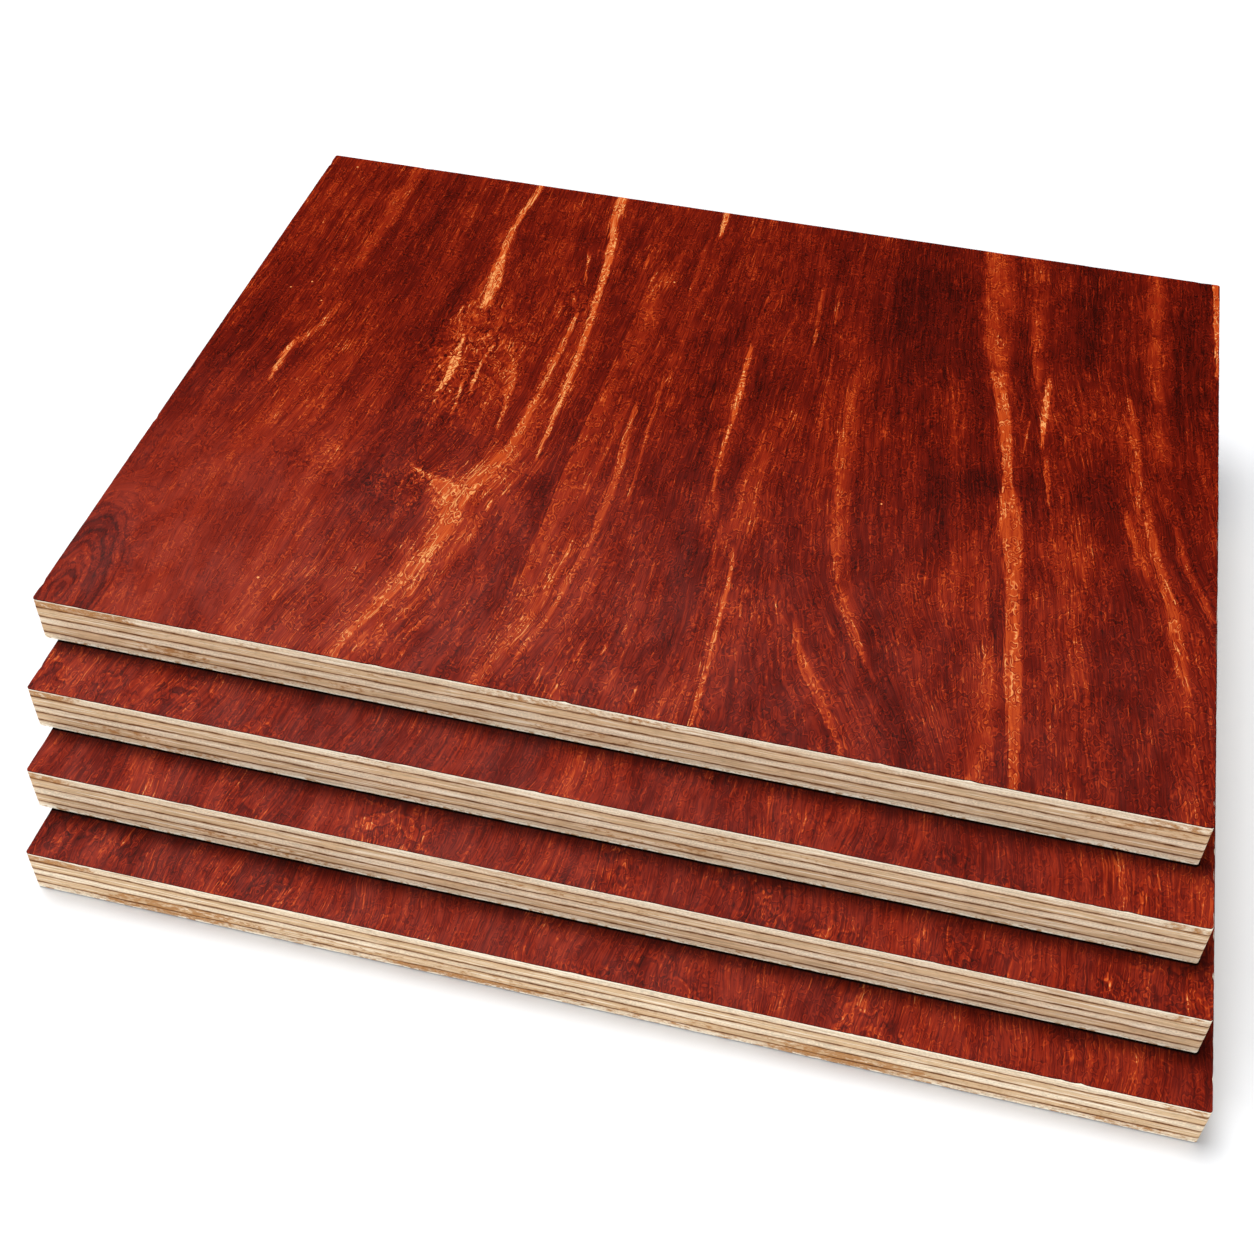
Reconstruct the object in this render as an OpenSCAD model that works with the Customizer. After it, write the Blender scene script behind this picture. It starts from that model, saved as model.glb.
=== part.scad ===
// Stack of coated plywood sheets, each one set back from the sheet below it.
// Every sheet is a five-ply laminate: two face veneers and a core whose grain runs front to
// back, two crossbands whose grain runs side to side, and a red resin film on both faces.
// Frame: +X along the long side, +Y to the back, +Z up. The origin is on the floor, under the
// centre of the whole stack.

/* [Sheet] */
// Length of a sheet, side to side
sheet_length = 305; // [120:1:1220]
// Depth of a sheet, front to back
sheet_depth = 229; // [120:1:1220]
// Radius that handling has worn on the four upright corners
corner_radius = 0.8; // [0.2:0.1:10]

/* [Plies] */
// Thickness of the red resin film on each face
film_thickness = 0.3; // [0.1:0.05:1]
// Thickness of the face veneer under the top film
top_face_thickness = 2.7; // [0.6:0.1:5]
// Thickness of the crossband above the core
upper_crossband_thickness = 3.4; // [0.6:0.1:6]
// Thickness of the core veneer
core_thickness = 2.8; // [0.6:0.1:6]
// Thickness of the crossband below the core
lower_crossband_thickness = 3.1; // [0.6:0.1:6]
// Thickness of the face veneer over the bottom film
bottom_face_thickness = 2.4; // [0.6:0.1:5]

/* [Stack] */
// Number of sheets in the stack
sheet_count = 4; // [2:1:8]
// Distance that a sheet is set back from the one below it
setback = 15.1; // [0:0.1:40]
// Distance that the top sheet is set back from the one below it
top_setback = 17.9; // [0:0.1:40]
// Distance that a sheet is shifted to the left of the one below it
side_shift = 3.8; // [-20:0.1:20]

/* [Hidden] */
$fn = 48;
// The layers of a sheet, from its underside up
LAYERS = ["bottom_film", "bottom_face", "lower_crossband", "core", "upper_crossband", "top_face", "top_film"];
LAYER_THICKNESS = [
    film_thickness,
    bottom_face_thickness,
    lower_crossband_thickness,
    core_thickness,
    upper_crossband_thickness,
    top_face_thickness,
    film_thickness
];
FILM_RED = [0.42, 0.08, 0.04];
FACE_TAN = [0.84, 0.73, 0.60];
CROSSBAND_TAN = [0.77, 0.63, 0.49];
CORE_CREAM = [0.86, 0.76, 0.64];

// Height of the underside of layer k above the underside of its sheet
function layer_height(k) = k == 0 ? 0 : layer_height(k - 1) + LAYER_THICKNESS[k - 1];
sheet_thickness = layer_height(len(LAYERS));

// How far sheet s lies behind and to the left of sheet 1, which is on the floor
function sheet_back(s) = (s - 1) * setback + (s == sheet_count ? top_setback - setback : 0);
function sheet_left(s) = (s - 1) * side_shift;

function node_name(s, k) = str("sheet_", s, "_", LAYERS[k]);

// The plan of a sheet: a rectangle with its four corners eased
module sheet_outline() {
    square([sheet_length - 2 * corner_radius, sheet_depth], center = true);
    square([sheet_length, sheet_depth - 2 * corner_radius], center = true);
    for (x = [-1, 1], y = [-1, 1])
        translate([x * (sheet_length / 2 - corner_radius), y * (sheet_depth / 2 - corner_radius)])
            circle(r = corner_radius);
}

// One flat layer, as large as the sheet
module layer_slab(k) {
    linear_extrude(height = LAYER_THICKNESS[k]) sheet_outline();
}

// The resin film that is pressed on both faces
module film(k) {
    color(FILM_RED) layer_slab(k);
}

// A face veneer, with its grain front to back
module face_veneer(k) {
    color(FACE_TAN) layer_slab(k);
}

// A crossband, with its grain side to side
module crossband(k) {
    color(CROSSBAND_TAN) layer_slab(k);
}

// The core veneer, with its grain front to back
module core_veneer(k) {
    color(CORE_CREAM) layer_slab(k);
}

// Layer k of a sheet, at its height in the sheet
module layer(k) {
    translate([0, 0, layer_height(k)]) {
        if (LAYERS[k] == "core")
            core_veneer(k);
        else if (LAYERS[k] == "bottom_film" || LAYERS[k] == "top_film")
            film(k);
        else if (LAYERS[k] == "bottom_face" || LAYERS[k] == "top_face")
            face_veneer(k);
        else
            crossband(k);
    }
}

// Puts its children where sheet s lies, with the whole stack centred on the origin
module place_sheet(s) {
    translate([
        sheet_left(sheet_count) / 2 - sheet_left(s),
        sheet_back(s) - sheet_back(sheet_count) / 2,
        (s - 1) * sheet_thickness
    ]) children();
}

for (s = [1:sheet_count], k = [0:len(LAYERS) - 1])
    place_sheet(s) layer(k);
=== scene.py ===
"""Stack of coated plywood sheets: the finish and the worn edges of every layer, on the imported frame."""

import math

import bmesh
import bpy
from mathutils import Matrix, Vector, noise


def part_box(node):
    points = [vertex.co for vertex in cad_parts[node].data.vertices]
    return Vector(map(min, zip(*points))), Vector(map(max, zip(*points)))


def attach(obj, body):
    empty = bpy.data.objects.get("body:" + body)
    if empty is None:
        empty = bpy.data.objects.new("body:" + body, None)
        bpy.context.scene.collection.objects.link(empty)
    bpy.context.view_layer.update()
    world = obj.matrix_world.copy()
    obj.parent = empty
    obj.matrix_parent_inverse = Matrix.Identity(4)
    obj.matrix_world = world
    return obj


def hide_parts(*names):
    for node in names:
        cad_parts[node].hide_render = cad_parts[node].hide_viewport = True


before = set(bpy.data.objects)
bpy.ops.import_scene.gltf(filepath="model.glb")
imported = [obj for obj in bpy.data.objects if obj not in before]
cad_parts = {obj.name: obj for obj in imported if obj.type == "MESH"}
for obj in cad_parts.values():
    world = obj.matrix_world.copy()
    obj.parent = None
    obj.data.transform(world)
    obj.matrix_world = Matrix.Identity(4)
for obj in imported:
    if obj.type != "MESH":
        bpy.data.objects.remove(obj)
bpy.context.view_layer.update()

bl_info = {
    "name": "Coated Plywood Stack",
    "version": (1, 0, 0),
    "blender": (4, 5, 0),
    "location": "View3D > Sidebar > Plywood",
    "description": "Builds the films, the veneers and the studio of a stack of red coated plywood sheets",
    "category": "Object",
}

MM = 0.001
SHEET_COUNT = sum(name.endswith("_core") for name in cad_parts)
TOP_SHEET = SHEET_COUNT
FACE_LOW, FACE_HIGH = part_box(f"sheet_{TOP_SHEET}_top_film")
HALF_LENGTH = (FACE_HIGH.x - FACE_LOW.x) / 2 / MM
HALF_DEPTH = (FACE_HIGH.y - FACE_LOW.y) / 2 / MM
SHEET_THICKNESS = FACE_HIGH.z / MM / SHEET_COUNT

# The veneers of a sheet, from its underside up, and the film on each face
VENEERS = ("bottom_face", "lower_crossband", "core", "upper_crossband", "top_face")
FILMS = ("bottom_film", "top_film")

# The cells and the rounded corners of a sheet's plan
CELL = 2.0 * MM
FILM_RIM_CELL = 1.2 * MM
CORNER_RADIUS = 0.8 * MM
CORNER_STEPS = 4
FILM_ARRIS = 0.08 * MM

# Wear of a film's sawn edge, in millimetres
FILM_RUB = 0.06
FILM_RUB_SPREAD = 0.05
UNDERSIDE_RUB = 0.95
BITE_FROM, BITE_DEPTH = 0.36, 0.6
NICK_FROM, NICK_DEPTH = 0.40, 1.3

# Wear of a veneer's sawn edge, in millimetres
VENEER_RUB = 0.05
VENEER_RUB_SPREAD = 0.06

# Beyond any glue line or streak
FAR = 9.0

# A streak's ends fade over STREAK_END and its glow ends within twice FADE of its sides
STREAK_END = 5
FADE = 2.2
LEAST_WIDTH = 0.3

# The mean tone of the top face and of the others, and what each part of the figure adds to it
TOP_TONE = 0.435
LOWER_TONE = 0.49
BROAD_BANDS = 0.44
NARROW_BANDS = 0.46
FINE_LINES = 0.44
MOTTLE = 0.40
HAIRS = 0.17
HAIR_GAPS = -0.14
TOP_CURLS = 0.22
LOWER_CURLS = 0.15
CALM_TONE = 0.54
PITH_RINGS = -0.17
PITH_ARCH = -0.15
BRIGHT_PINHOLES = 0.07
DARK_PINHOLES = -0.12
CLOUD_DEPTH = 1.25

# Corner radius of the painted shadow round the foot of a sheet, in millimetres
FOOT = 1.0


def streak(glow, *stations, left=0.6, right=0.6):
    """A pale streak: its glow, its reach to each side as shares of its width, and its stations."""
    return glow, left, right, tuple(zip(stations[::3], stations[1::3], stations[2::3]))


# Pale streaks of the top sheet, crisp ones and soft bands. A station is three numbers: its places to
# the back and to the right of the middle of the face, and the width there, in millimetres.
CRISP_STREAKS = (
    streak(0.86, 114, -77, 1.6, 95, -78.5, 1.8, 80, -79, 2, 68, -78, 3, 57, -76.5, 4.4, 48, -76, 3.2,
        38, -75.5, 0.6),
    streak(0.84, 114, -48, 3.4, 100, -47.5, 3, 88, -45.2, 3, 75, -43.5, 2.6, 55, -42, 2.2, 35, -40.6, 1.9,
        15, -39.8, 2, -10, -39.5, 1.3, -28, -39.3, 0.5),
    streak(0.72, 48, -46, 0.8, 30, -46, 1.8, 10, -46.8, 1.6, -5, -47.1, 2, -16, -47.6, 2.6,
        -24, -48.6, 3.6, -31, -50.3, 4.8, -37, -52.3, 5.4, -47, -55.2, 5.4, -54, -56.3, 5, -62, -56, 4.4,
        -70, -57, 4, -80, -60, 3.4, -95, -64, 2.6, -112, -69, 2),
    streak(0.7, -35, -74, 1.4, -39, -71, 3, -41.5, -63, 9, -45, -60.4, 8.4, -49, -58.6, 7,
        -54, -56.8, 4.4),
    streak(0.68, 20, -59.5, 0.6, 13, -57.8, 1.5, 7, -56.2, 2.2, -4, -55, 1.4, -19, -54.1, 0.5),
    streak(0.4, 10, -28.7, 0.8, -10, -29.5, 1, -35, -29.6, 1.6, -60, -29.4, 1.6, -80, -30, 0.8,
        right=0.8),
    streak(0.38, 10, -19.5, 0.9, -8, -20, 1.2, -22, -21.2, 1, -32, -22, 0.8),
    streak(0.56, 8, -17.5, 1, -10, -16.5, 1.6, -22, -15.3, 2.4, -38, -15.3, 2, -55, -15.8, 1.6,
        -70, -17.3, 1.6, -88, -19.5, 1.4, -105, -24, 1),
    streak(0.54, -52, -20.5, 0.8, -70, -21.8, 1.6, -85, -23.6, 1.7, -100, -26.5, 1.4, -113, -32, 1),
    streak(0.9, 114, -11.5, 1.8, 106, -11, 1.6, 98, -11, 0.5),
    streak(0.32, 95, -14.5, 1.2, 80, -14, 1.2, 62, -14, 0.7),
    streak(0.55, 20, -12, 0.6, 0, -11.3, 0.7, -22, -10.2, 0.8, -40, -9.4, 0.6),
    streak(0.74, 46, 10.2, 0.5, 34, 11, 1.4, 20, 11.6, 1.7, 6, 12.1, 1.1, -10, 12, 1, -30, 13, 0.6),
    streak(0.68, -46, 22.5, 0.6, -56, 24, 1.2, -75, 24.7, 1, -95, 25.2, 1, -113, 25.5, 1),
    streak(0.56, -70, 44, 1, -80, 46, 2.2, -88, 49.5, 3.2, -95, 53.5, 3.8, -104, 58, 2.6, -112, 62.5, 1.2,
        left=0.4, right=0.8),
    streak(0.64, 52, 86, 3, 40, 88, 3, 22, 91, 3.2, 8, 92.6, 2.4, 0, 93.5, 2, -10, 95, 4.2,
        -24, 96.8, 4.8, -38, 98.3, 3.4, -58, 100, 2.8, -76, 101.6, 3.6, -95, 103.5, 2.6, -113, 105, 1.8,
        left=0.8, right=0.8),
    streak(0.82, 52, 102, 0.6, 42, 102, 1.6, 28, 101.8, 1.6, 15, 102, 0.7),
    streak(0.5, 14, 103.5, 0.8, 4, 104.6, 1.5, -10, 106, 0.6),
    streak(0.42, 48, 126, 1.4, 30, 128.5, 1.8, 12, 130, 2, -8, 130.6, 1.2),
    streak(0.6, 4, 132, 1, -12, 134.2, 2.4, -28, 137.5, 2.8, -42, 141, 3, -58, 143.5, 2, -74, 146, 0.8),
    streak(0.46, -4, 127, 1.4, -16, 129.6, 2.2, -34, 134.5, 1.2),
    streak(0.72, 112, 151.3, 2, 90, 151.6, 1.6, 62, 152, 0.8),
    streak(0.42, 114, -121.5, 1.8, 90, -122, 1.8, 70, -122.3, 2.2, 50, -122, 1),
    streak(0.34, 114, -119, 0.8, 75, -119, 0.8),
    streak(0.44, 34, -120, 1.2, 18, -122.2, 2.6, 8, -126.6, 2.4, -2, -128.5, 1.2),
    streak(0.96, 12, -127, 0.5, 4, -127.3, 1.2, -6, -127.6, 1.1, -13, -127, 0.5),
    streak(0.4, 112, -88, 0.7, 90, -87, 0.6),
    streak(1.02, 27, -77.4, 0.6, 20, -76.8, 1.2, 14, -76.1, 2.2, 7, -75.6, 2.7, 0, -76, 1.6,
        -7, -77.3, 0.8),
    streak(0.86, 25, -66.4, 0.6, 14, -67.8, 0.9, 4, -67.4, 0.8, -3, -66.9, 0.5),
    streak(0.8, 6, -70.8, 0.6, -4, -69.9, 0.8, -9, -69.4, 0.8, -15, -69.2, 0.6),
    streak(0.74, 80, -51, 0.7, 60, -47.5, 0.6),
    streak(0.56, 57, -50.5, 1.6, 46, -47, 0.8),
    streak(0.5, 82, 27.3, 0.7, 62, 28.4, 0.8, 46, 29.5, 0.6),
    streak(0.4, 84, 32.6, 0.7, 58, 34, 0.6),
    streak(0.4, 46, 36, 0.7, 20, 37, 0.8, 0, 38, 0.6),
)
SOFT_STREAKS = (
    streak(0.34, 90, -22, 2, 62, -27, 8, 40, -27.9, 9, 15, -28.7, 8, -20, -30, 8, -50, -29.5, 9,
        -84, -30, 3, left=0.05, right=1.3),
    streak(0.3, -24, 13, 1.4, -35, 14, 4, -50, 13.5, 2, left=1, right=1),
    streak(0.26, -36, 18, 2, -50, 18.5, 4, -62, 20.5, 3, -72, 21.5, 1, left=1, right=1),
    streak(0.5, 40, 43, 2, 15, 44, 4, 0, 45, 4.6, -15, 46.5, 5, -30, 48, 5, -45, 50, 4.4, -60, 54.5, 4,
        -74, 60, 3.4, -88, 67, 1.6, left=0.3, right=1.3),
    streak(0.48, 114, 79.5, 7, 98, 80.5, 8, 82, 82, 8, 66, 83, 8, 52, 86, 5, 40, 88, 4, left=0.7,
        right=1.2),
    streak(0.46, -66, 94, 2, -80, 95.5, 6, -92, 96.5, 8, -104, 96, 7, -113, 95, 6, left=0.8, right=0.8),
    streak(0.36, 114, 92.5, 6, 95, 94.5, 7, 80, 96, 6.5, 62, 97.5, 4.4, 44, 98.5, 2, left=0.8, right=0.9),
    streak(0.34, 114, 132, 4, 95, 132, 6, 75, 133.5, 7, 55, 134.3, 5, 30, 136, 5, 8, 137.5, 5, -8, 139, 2,
        left=1, right=1),
    streak(0.4, -6, 140, 1.4, -24, 144.5, 3, -46, 152, 1.6, left=0.8, right=0.8),
    streak(0.22, 112, -122, 5, 80, -122, 5, 50, -122, 3, left=0.8, right=0.8),
    streak(0.24, 24, -48, 3, 0, -46, 5, -25, -45, 6, -50, -48, 7, -75, -50, 5, left=0.7, right=1),
    streak(0.2, 60, 11, 4, 20, 10, 7, -20, 13, 6, left=1, right=1),
)

# Darker and paler clouds in the top sheet's figure: (right, back, half width, half depth, tone)
CLOUDS = (
    (-104, -95, 140, 90, 0.11), (-150, 20, 80, 140, 0.04), (120, 100, 130, 110, -0.06),
    (60, 78, 20, 50, -0.12), (68, -15, 17, 44, -0.08), (87, -4, 9, 8, -0.15), (101, -6, 6, 13, -0.13),
    (119, -2, 12, 11, -0.12), (113, 88, 7, 36, -0.1), (143, 75, 9, 55, -0.09), (-107, 72, 12, 60, -0.08),
    (-34, 30, 6, 80, -0.07), (134, -50, 9, 30, -0.06), (-87, -45, 6, 11, -0.1), (30, -60, 12, 20, -0.05),
    (-145, 0, 14, 30, -0.05), (-135, -52, 30, 12, -0.01), (84, -44, 10, 22, 0.09),
    (142, -62, 12, 22, 0.05), (26, -24, 7, 20, 0.07), (102, 40, 7, 20, 0.05), (-72, 20, 17, 38, 0.15),
    (-96, -40, 14, 10, 0.06), (-108, -22, 8, 16, 0.06), (117, 33, 15, 16, 0.11), (117, -28, 12, 8, 0.07),
    (76, 18, 6, 18, 0.06), (77, -50, 6, 16, 0.05), (33, -72, 9, 8, 0.06), (24, -5, 6, 18, 0.05),
    (-72, -57, 14, 18, -0.09), (-71, -49, 6, 6, 0.1), (-60, -28, 8, 12, -0.09),
)

# Where the grain runs wild, round knots and burrs: (right, back, half width, half depth, share)
BURRS = (
    (-72, 14, 20, 44, 0.9), (-72, -46, 15, 13, 1.0), (-136, -50, 30, 18, 0.4), (-141, -92, 14, 12, 0.6),
    (-98, -42, 22, 14, 0.6), (117, 33, 16, 16, 0.5), (-47, 52, 8, 14, 0.7),
)

# The right position of each grain line at each back position, and the row of its home
GRAIN_ROWS = (114, 60, 20, -20, -50, -80, -114)
HOME_ROW = 3
GRAIN_LINES = (
    (-175,) * 7,
    (-122, -122, -123, -127, -131, -130, -124),
    (-78, -77, -77, -79, -84, -86, -92),
    (-47, -43, -43, -46, -53, -57, -67),
    (-23, -27, -28.5, -30, -29.5, -30, -34),
    (-13, -14, -15, -15.5, -15.5, -19, -27),
    (10, 10, 11.5, 12.5, 14, 15, 13),
    (22, 26, 24, 23, 23.5, 24.7, 25.5),
    (31, 33, 35, 36, 39, 47, 63),
    (40, 42, 43.7, 46.7, 51, 63, 78),
    (80, 84, 91.3, 96.5, 99.5, 102, 104.5),
    (121, 124, 130, 136, 142, 148, 152),
    (133, 134, 138, 145, 155, 160, 164),
    (180,) * 7,
)

# The pith at the front left: (right, back, half width, half depth), and the grain laid round it
PITH = (-147, -110, 13, 40)
PITH_GRAIN = 18

# Pin specks of bare resin: (right, back)
SPECKS = (
    (-142.5, 109), (-133, 40), (-138.5, 35.5), (-126.5, 31), (-98, -92), (60, -20), (-20, 70),
)

# Brown stains on the front edges of a sheet's veneers: (from the left end, half width, strength). The two
# wide entries of the lowest sheet are painted shade towards the floor, over its whole length.
FRONT_STAINS_AND_SHADE = {
    (4, "top_face"): ((8, 24, 0.75), (26, 5, 0.4), (62, 10, 0.25), (140, 26, 0.45), (168, 14, 0.4),
        (230, 16, 0.2), (298, 14, 0.5)),
    (4, "upper_crossband"): ((292, 22, 0.35), (90, 16, 0.2)),
    (4, "lower_crossband"): ((38, 16, 0.45), (84, 14, 0.35), (150, 22, 0.25)),
    (4, "bottom_face"): ((60, 30, 0.35), (118, 14, 0.4)),
    (3, "top_face"): ((4, 14, 0.7), (96, 14, 0.25), (300, 10, 0.5)),
    (3, "lower_crossband"): ((24, 18, 0.4), (170, 26, 0.35)),
    (3, "bottom_face"): ((44, 16, 0.45), (104, 12, 0.35)),
    (3, "upper_crossband"): ((200, 30, 0.2),),
    (2, "top_face"): ((4, 12, 0.6), (300, 8, 0.45)),
    (2, "lower_crossband"): ((60, 26, 0.35),),
    (2, "bottom_face"): ((76, 18, 0.4), (190, 20, 0.3)),
    (2, "upper_crossband"): ((150, 30, 0.25),),
    (1, "top_face"): ((7, 16, 0.75), (300, 10, 0.4)),
    # The entries at 150 with a half width of 200 are painted shade towards the floor
    (1, "lower_crossband"): ((40, 26, 0.4), (150, 200, 0.22), (222, 24, 0.4)),
    (1, "bottom_face"): ((150, 200, 0.32), (36, 26, 0.5), (120, 30, 0.45), (216, 22, 0.55),
        (290, 16, 0.4)),
}


def shade(red, green, blue):
    """A colour as a paint chart gives it, 0 to 255, as the linear colour that the nodes use."""
    def linear(value):
        value /= 255
        return value / 12.92 if value <= 0.04045 else ((value + 0.055) / 1.055) ** 2.4
    return linear(red), linear(green), linear(blue)


def opaque(colour):
    """A colour with full alpha."""
    return (*colour, 1.0)


def dimmed(colour, share):
    """A colour made darker by a share below 1, or brighter by one above it."""
    return [min(1, value * share) for value in colour]


# ---------- settings


def tint(name, description, default):
    """A colour in the sidebar."""
    return bpy.props.FloatVectorProperty(
        name=name, description=description, default=default, min=0, max=1, subtype="COLOR")


def length(name, description, default, most):
    """A length in the sidebar, given in millimetres."""
    return bpy.props.FloatProperty(
        name=name, description=description, default=default * MM, min=0, max=most * MM,
        precision=5, subtype="DISTANCE", unit="LENGTH")


def power(name, description, default):
    """The strength of a light in the sidebar."""
    return bpy.props.FloatProperty(name=name, description=description, default=default, min=0, max=20)


class FilmSettings(bpy.types.PropertyGroup):
    """The red resin film on both faces of a sheet."""

    # Dimmed, this colour is also the painted shadow at the foot of the sheet above
    dark: tint("Dark grain", "Colour of the deepest stained grain", shade(44, 6, 3))
    red: tint("Resin red", "Colour of the film over plain veneer", shade(92, 15, 5))
    ember: tint("Ember", "Colour of the film over pale, open grain", shade(136, 34, 10))
    streak: tint("Streak", "Colour of the bright streaks", shade(186, 74, 25))
    resin: tint(
        "Bare resin pocket", "Colour of a resin pocket that hardly takes the stain",
        shade(220, 150, 88))
    # Partly the colour of handling dust, partly a painted sheen at the front left
    dust_and_sheen: tint("Dust and sheen", "Colour of the thin dust over the front of the film", shade(196, 156, 150))
    # Painted shade: the near-black contact shadow at the foot of the sheet that lies on the film
    contact_shadow: tint("Contact shadow", "Colour of the film at the foot of the sheet that lies on it", shade(16, 5, 3))
    # Partly the resin's own darker edge, partly painted shade on the film's sawn edge
    rim: tint("Sawn rim", "Colour of the film's own sawn edge", shade(62, 12, 7))
    chip: length("Edge chips", "How far the deepest chip reaches in from the sawn edge", 0.7, 3)
    roughness: bpy.props.FloatProperty(
        name="Roughness", description="Roughness of the cured resin", default=0.30, min=0, max=1,
        subtype="FACTOR")


class VeneerSettings(bpy.types.PropertyGroup):
    """The five veneers that show on the sawn edges."""

    pale: tint("Pale wood", "Colour of the face and core veneers", shade(234, 213, 184))
    tan: tint("Tan wood", "Colour of the crossbands", shade(216, 183, 144))
    glue: tint("Glue line", "Colour of the resin between two veneers", shade(92, 48, 17))
    stain: tint("Stain", "Colour of the brown stains where the glue has soaked in", shade(176, 124, 74))
    # Painted shade: the near-black colour of faces that look down under each sheet
    underside_shade: tint("Underside shade", "Colour of the soiled arris under each sheet", shade(48, 24, 14))
    # Pale saw marks and the chalky lower arris take this colour, and so does the painted highlight along
    # each upper arris
    arris: tint("Bright arris", "Colour of the freshly sawn arris under the film", shade(250, 238, 216))
    ease: length(
        "Eased arris", "How far each veneer's sawn arris is rubbed back at a glue line", 0.02, 0.5)
    lower_arris: length("Lower arris", "How far the sheet's lower arris is rubbed back", 0.12, 1)
    wander: length(
        "Glue line wander", "How far a glue line strays from its level along an edge", 0.3, 1)


class StageSettings(bpy.types.PropertyGroup):
    """The floor, the lights and the camera."""

    floor: tint("Floor", "Colour of the studio floor", (0.80, 0.81, 0.825))
    camera_place: bpy.props.FloatVectorProperty(
        name="Camera place", description="Where the camera stands", subtype="XYZ", unit="LENGTH",
        default=(66.2 * MM, -369.6 * MM, 386.7 * MM))
    camera_turn: bpy.props.FloatVectorProperty(
        name="Camera turn", description="How the camera is turned", subtype="EULER", unit="ROTATION",
        default=(math.radians(44.08), math.radians(-0.93), math.radians(13.72)))
    lens: bpy.props.FloatProperty(
        name="Lens", description="Focal length of the camera, in millimetres", default=49.9,
        min=10, max=300)
    key_strength: power(
        "Key light", "Strength of the large soft light behind the stack, to the left", 2.65)
    fill_strength: power("Fill light", "Strength of the soft light in front of the stack", 0.9)
    sky_strength: power("Room light", "Strength of the light that comes from the whole room", 0.7)
    glow: power(
        "Panel light", "Strength of the soft panel that the resin mirrors at the front left", 1.2)


# ---------- shader nodes


class Nodes:
    """Adds nodes to a material or a world. An input is a plain value or another node's output."""

    def __init__(self, owner):
        owner.use_nodes = True
        self.owner = owner
        self.tree = owner.node_tree
        self.tree.nodes.clear()

    def node(self, kind, inputs=(), **settings):
        """One node, with its settings and its inputs as pairs of (socket, value)."""
        made = self.tree.nodes.new(kind)
        for key, value in settings.items():
            setattr(made, key, value)
        for key, value in inputs:
            socket = made.inputs[key]
            if isinstance(value, bpy.types.NodeSocket):
                self.tree.links.new(value, socket)
            else:
                socket.default_value = opaque(value) if socket.type == "RGBA" else value
        return made

    def math(self, operation, *values, clamp=False):
        pairs = enumerate(values)
        return self.node("ShaderNodeMath", pairs, operation=operation, use_clamp=clamp).outputs[0]

    def times(self, first, second, clamp=False):
        return self.math("MULTIPLY", first, second, clamp=clamp)

    def plus(self, first, second):
        return self.math("ADD", first, second)

    def minus(self, first, second):
        return self.math("SUBTRACT", first, second)

    def gain(self, value, weight, total):
        """total plus weight times value."""
        return self.math("MULTIPLY_ADD", value, weight, total)

    def sway(self, value, reach):
        """Turns noise about 0.5 into a push of up to about reach either way."""
        return self.gain(value, 2 * reach, -reach)

    def even_gain(self, value, weight, total):
        """total plus a push of half the weight either way, from noise about 0.5."""
        return self.plus(total, self.sway(value, weight / 2))

    def vector(self, operation, *values):
        made = self.node("ShaderNodeVectorMath", enumerate(values), operation=operation)
        return made.outputs["Value" if operation in {"LENGTH", "DOT_PRODUCT"} else "Vector"]

    def ramp(self, value, low, high, out_low=0.0, out_high=1.0, smooth=True):
        """value from low to high becomes out_low to out_high, and stays there beyond them."""
        pairs = enumerate((value, low, high, out_low, out_high))
        kind = "SMOOTHSTEP" if smooth else "LINEAR"
        return self.node("ShaderNodeMapRange", pairs, interpolation_type=kind).outputs[0]

    def fall(self, value, low, high):
        """value from low to high becomes 1 to 0."""
        return self.ramp(value, low, high, 1.0, 0.0)

    def mix(self, share, first, second):
        """The second colour over the first, by share."""
        pairs = (("Factor", share), (6, first), (7, second))
        return self.node("ShaderNodeMix", pairs, data_type="RGBA").outputs[2]

    def split(self, vector):
        return self.node("ShaderNodeSeparateXYZ", ((0, vector),)).outputs

    def carried(self, name, kind="Vector"):
        """What the vertices carry under a name."""
        return self.node("ShaderNodeAttribute", attribute_name=name).outputs[kind]

    def own_place(self, kind="Object"):
        return self.node("ShaderNodeTexCoord").outputs[kind]

    def upright(self):
        """How far the surface looks up, from -1 to 1."""
        return self.split(self.node("ShaderNodeNewGeometry").outputs["Normal"])[2]

    def grain(self, place, scale, seed, detail=1.0, rough=0.5):
        """Noise about 0.5 at place, with scale cycles per millimetre along two or three axes."""
        flat = len(scale) == 2
        scale = (*scale, 0) if flat else scale
        spot = self.vector("MULTIPLY_ADD", place, scale, (seed * 7.31, seed * 3.17, seed * 5.71))
        pairs = (("Vector", spot), ("Scale", 1.0), ("Detail", detail), ("Roughness", rough))
        kind = "2D" if flat else "3D"
        return self.node("ShaderNodeTexNoise", pairs, noise_dimensions=kind).outputs[0]

    def surface(self, colour, roughness, shine, relief=None):
        """Finishes the material. relief is (strength, depth in millimetres, height)."""
        inputs = [("Base Color", colour), ("Roughness", roughness), ("Specular IOR Level", shine)]
        if relief:
            strength, depth, height = relief
            pairs = (("Strength", strength), ("Distance", depth * MM), ("Height", height))
            inputs.append(("Normal", self.node("ShaderNodeBump", pairs).outputs[0]))
        shader = self.node("ShaderNodeBsdfPrincipled", inputs)
        self.node("ShaderNodeOutputMaterial", (("Surface", shader.outputs[0]),))
        return self.owner


# ---------- the top sheet's figure


def eased(share):
    """0 to 1 with a soft start and end, and no further."""
    share = min(1.0, max(0.0, share))
    return share * share * (3 - 2 * share)


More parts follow.
